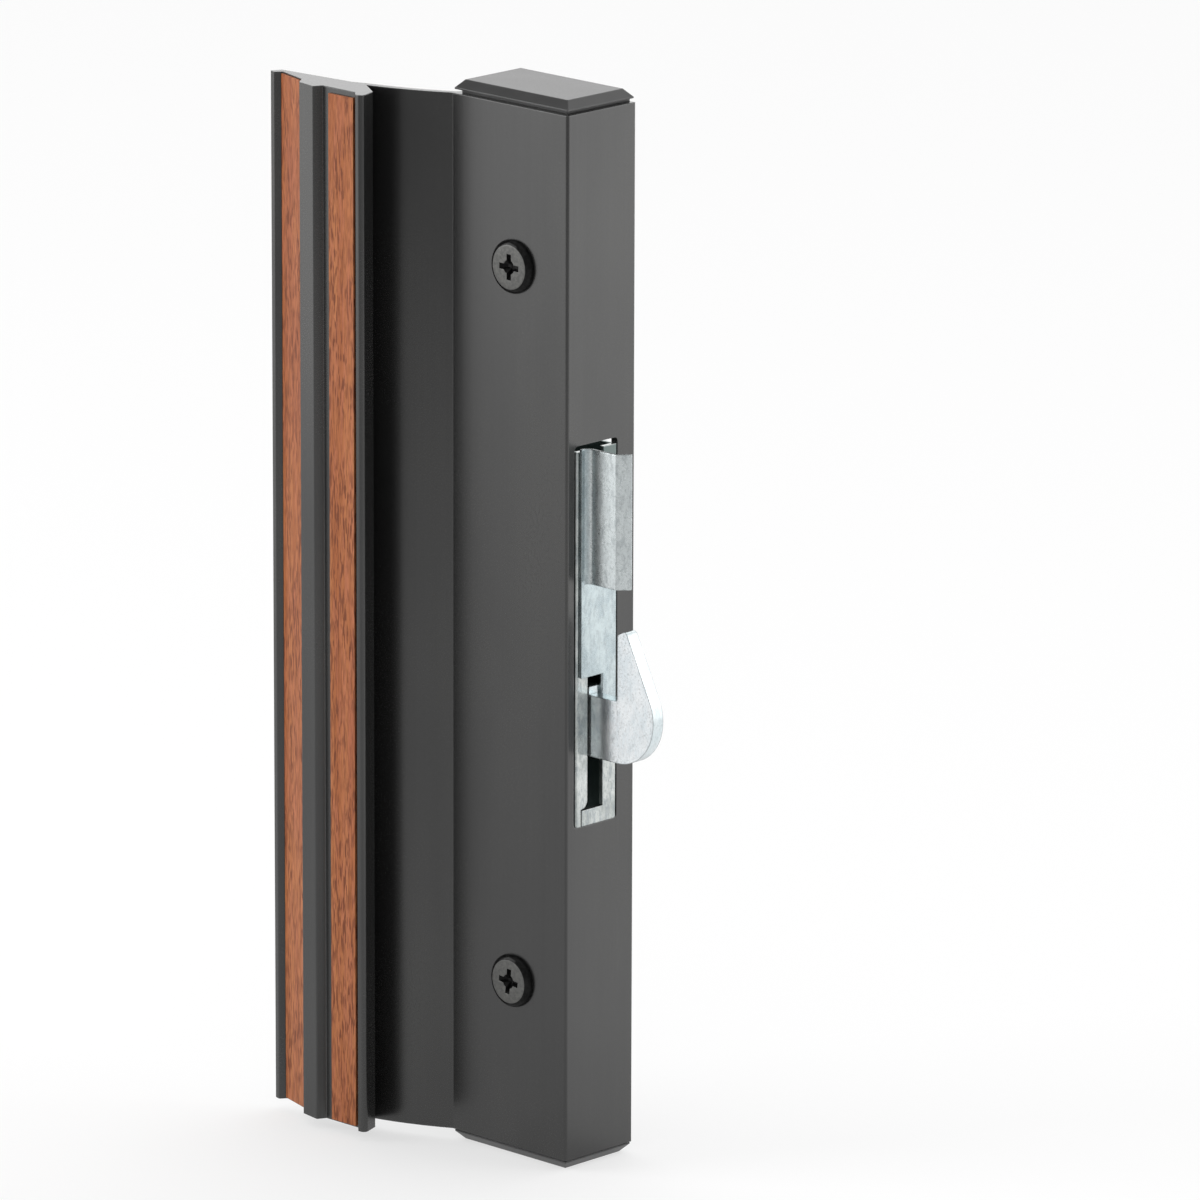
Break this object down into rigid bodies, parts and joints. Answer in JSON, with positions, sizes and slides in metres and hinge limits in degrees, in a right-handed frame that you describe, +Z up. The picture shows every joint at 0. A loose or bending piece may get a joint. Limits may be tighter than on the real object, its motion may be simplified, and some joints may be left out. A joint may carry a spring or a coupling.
{
  "type": "sliding patio door handle",
  "caption": "Inside pull of a sliding patio door: open-backed channel with a flared grip, wood-look strips and a sliding hook latch worked by a thumb tab.",
  "frame": {"origin": "on the plane that meets the door, midway between the two mounting screws", "axes": "+Z up along the handle, +X towards the side with the latch, +Y into the door, -Y towards the room"},
  "size_m": [0.077, 0.0382, 0.187],
  "materials": {
    "anodised_section": "satin",
    "wood_strip": "satin",
    "cap_plastic": "matte",
    "black_screw": "gloss",
    "zinc_sheet": "satin",
    "zinc_plate": "satin",
    "zinc_rivet": "satin",
    "spring_strip": "satin"
  },
  "bodies": {
    "handle": {"handle_extrusion": "anodised_section", "outer_wood_strip": "wood_strip", "inner_wood_strip": "wood_strip", "top_end_cap": "cap_plastic", "bottom_end_cap": "cap_plastic", "upper_mounting_screw": "black_screw", "lower_mounting_screw": "black_screw", "latch_case": "zinc_sheet", "detent_spring": "spring_strip", "spring_rivet": "zinc_rivet"},
    "latch": {"latch_slide": "zinc_sheet", "latch_hook": "zinc_plate", "hook_rivet_upper": "zinc_rivet", "hook_rivet_lower": "zinc_rivet"}
  },
  "joints": [
    {"name": "latch_slide_travel", "type": "slide", "parent": "handle", "child": "latch", "axis": [0, 0, 1], "range_m": [-0.009, 0], "deforming": ["detent_spring"]}
  ]
}
